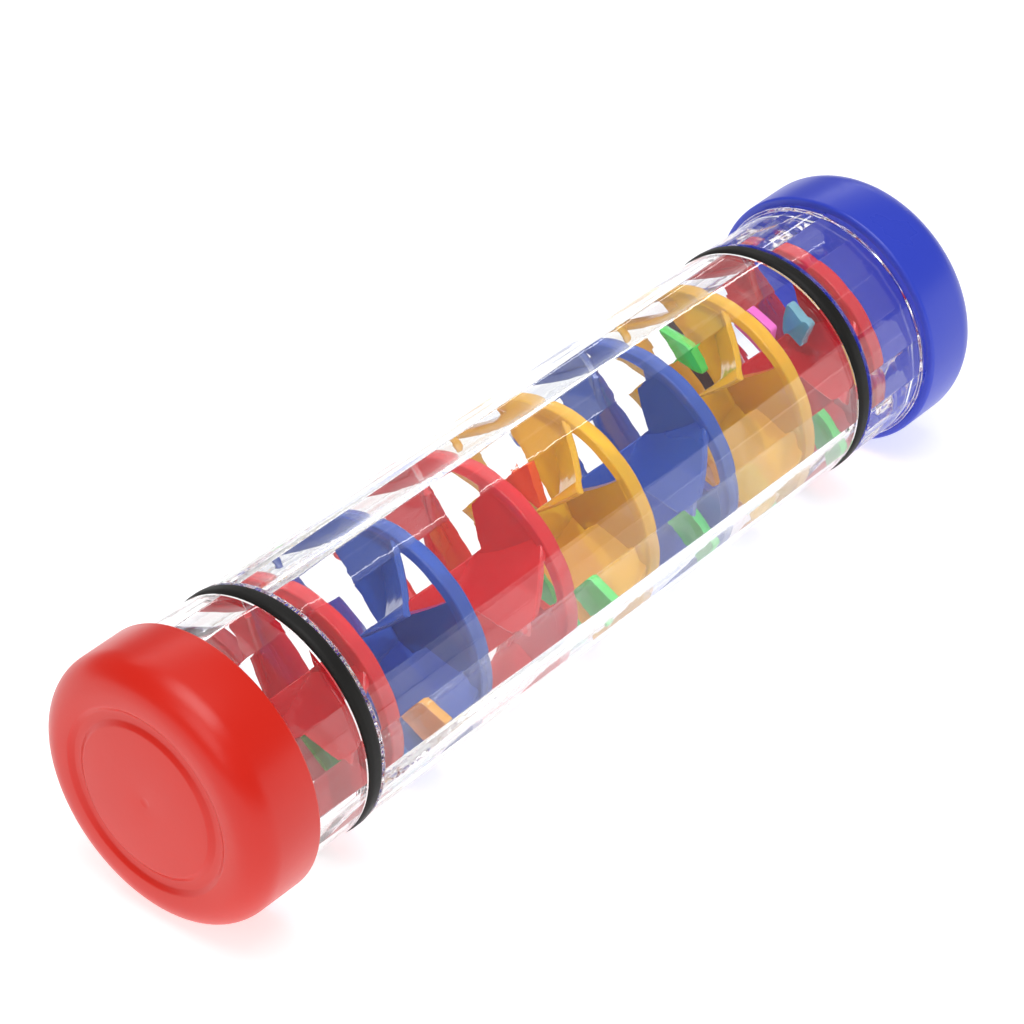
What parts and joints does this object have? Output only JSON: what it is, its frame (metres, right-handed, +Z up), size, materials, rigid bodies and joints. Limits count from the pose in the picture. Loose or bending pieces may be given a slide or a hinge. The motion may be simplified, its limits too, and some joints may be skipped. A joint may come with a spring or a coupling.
{
  "type": "rainstick",
  "caption": "Clear tube rainstick with red and blue end caps, coloured ramp baffles, rubber rings and loose translucent chips that rattle inside.",
  "frame": {"origin": "under the middle of the stick, at the level its caps lie on", "axes": "+X runs along the stick from the red end to the blue end, +Z is up, -Y is the front"},
  "size_m": [0.2, 0.0512, 0.0512],
  "materials": {
    "clear_tube": "polished clear plastic",
    "red_cap": "satin moulded plastic",
    "blue_cap": "satin moulded plastic",
    "rubber_ring": "matt black rubber",
    "red_baffle": "translucent moulded plastic",
    "blue_baffle": "translucent moulded plastic",
    "yellow_baffle": "translucent moulded plastic",
    "green_chip": "clear tinted plastic",
    "orange_chip": "clear tinted plastic",
    "yellow_chip": "clear tinted plastic",
    "orange_red_chip": "clear tinted plastic",
    "pink_chip": "clear tinted plastic",
    "light_blue_chip": "clear tinted plastic"
  },
  "bodies": {
    "stick": {"tube": "clear_tube", "red_cap": "red_cap", "blue_cap": "blue_cap", "red_end_rubber_ring": "rubber_ring", "blue_end_rubber_ring": "rubber_ring", "baffle_1_yellow": "yellow_baffle", "baffle_2_red": "red_baffle", "baffle_3_blue": "blue_baffle", "baffle_4_red": "red_baffle", "baffle_5_yellow": "yellow_baffle", "baffle_6_blue": "blue_baffle", "baffle_7_yellow": "yellow_baffle", "baffle_8_red": "red_baffle"},
    "chip_01": {"chip_01_light_blue": "light_blue_chip"},
    "chip_02": {"chip_02_pink": "pink_chip"},
    "chip_03": {"chip_03_yellow": "yellow_chip"},
    "chip_04": {"chip_04_green": "green_chip"},
    "chip_05": {"chip_05_orange": "orange_chip"},
    "chip_06": {"chip_06_green": "green_chip"},
    "chip_07": {"chip_07_green": "green_chip"},
    "chip_08": {"chip_08_orange_red": "orange_red_chip"},
    "chip_09": {"chip_09_green": "green_chip"},
    "chip_10": {"chip_10_orange": "orange_chip"},
    "chip_11": {"chip_11_green": "green_chip"},
    "chip_12": {"chip_12_green": "green_chip"},
    "chip_13": {"chip_13_green": "green_chip"},
    "chip_14": {"chip_14_pink": "pink_chip"},
    "chip_15": {"chip_15_light_blue": "light_blue_chip"}
  },
  "joints": [
    {"name": "chip_01_slide", "type": "slide", "parent": "stick", "child": "chip_01", "axis": [1, 0, 0], "range_m": [-0.01134, 0.00125]},
    {"name": "chip_02_slide", "type": "slide", "parent": "stick", "child": "chip_02", "axis": [1, 0, 0], "range_m": [-0.00629, 0.00629]},
    {"name": "chip_03_slide", "type": "slide", "parent": "stick", "child": "chip_03", "axis": [1, 0, 0], "range_m": [-0.00756, 0.00504]},
    {"name": "chip_04_slide", "type": "slide", "parent": "stick", "child": "chip_04", "axis": [1, 0, 0], "range_m": [-0.01441, 0]},
    {"name": "chip_05_slide", "type": "slide", "parent": "stick", "child": "chip_05", "axis": [1, 0, 0], "range_m": [-0.01006, 0]},
    {"name": "chip_06_slide", "type": "slide", "parent": "stick", "child": "chip_06", "axis": [1, 0, 0], "range_m": [-0.01658, 0]},
    {"name": "chip_07_slide", "type": "slide", "parent": "stick", "child": "chip_07", "axis": [1, 0, 0], "range_m": [-0.00952, 0]},
    {"name": "chip_08_slide", "type": "slide", "parent": "stick", "child": "chip_08", "axis": [1, 0, 0], "range_m": [-0.01179, 0.00208]},
    {"name": "chip_09_slide", "type": "slide", "parent": "stick", "child": "chip_09", "axis": [1, 0, 0], "range_m": [-0.017, 0]},
    {"name": "chip_10_slide", "type": "slide", "parent": "stick", "child": "chip_10", "axis": [1, 0, 0], "range_m": [-0.01658, 0]},
    {"name": "chip_11_slide", "type": "slide", "parent": "stick", "child": "chip_11", "axis": [1, 0, 0], "range_m": [-0.01615, 0.00084]},
    {"name": "chip_12_slide", "type": "slide", "parent": "stick", "child": "chip_12", "axis": [1, 0, 0], "range_m": [-0.01479, 0.00261]},
    {"name": "chip_13_slide", "type": "slide", "parent": "stick", "child": "chip_13", "axis": [1, 0, 0], "range_m": [-0.01019, 0.0068]},
    {"name": "chip_14_slide", "type": "slide", "parent": "stick", "child": "chip_14", "axis": [1, 0, 0], "range_m": [-0.00084, 0.01614]},
    {"name": "chip_15_slide", "type": "slide", "parent": "stick", "child": "chip_15", "axis": [1, 0, 0], "range_m": [-0.01449, 0]}
  ]
}
